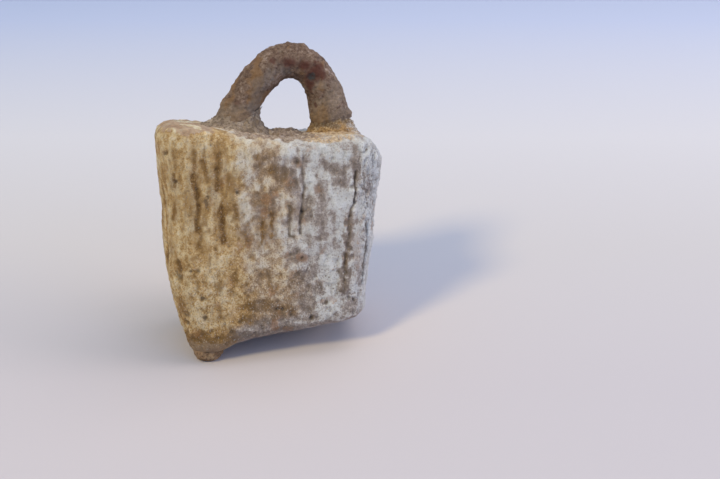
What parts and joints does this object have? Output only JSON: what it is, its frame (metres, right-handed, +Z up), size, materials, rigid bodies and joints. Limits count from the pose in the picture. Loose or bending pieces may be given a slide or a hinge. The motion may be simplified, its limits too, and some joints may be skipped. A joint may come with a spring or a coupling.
{
  "type": "scale weight",
  "caption": "Tapered cast lead block that leans back on its rear lower edge, with a forged iron loop set in its top as an eye that hangs it from a balance arm.",
  "frame": {"origin": "middle of the whole weight's box in plan, level with the surface that it stands on", "axes": "+Z up, +X to the right along the block's width as seen from the front, +Y from the front face to the back"},
  "size_m": [0.0392, 0.0286, 0.0515],
  "materials": {
    "crusted_lead": "chalky pale lead carbonate over dull grey-brown lead",
    "rusted_iron": "deep granular brown rust with orange and dark red spots",
    "iron_crust": "rough grey-brown granular crust",
    "orange_rust": "crumbly orange-yellow rust",
    "packed_earth": "matt dark brown packed earth",
    "rusty_earth": "matt reddish-brown cemented earth"
  },
  "bodies": {
    "root": {"lead_body": "crusted_lead", "iron_loop": "rusted_iron", "left_foot_crust": "iron_crust", "right_foot_crust": "orange_rust", "saddle_crust": "packed_earth", "corner_lump": "rusty_earth"}
  },
  "joints": []
}
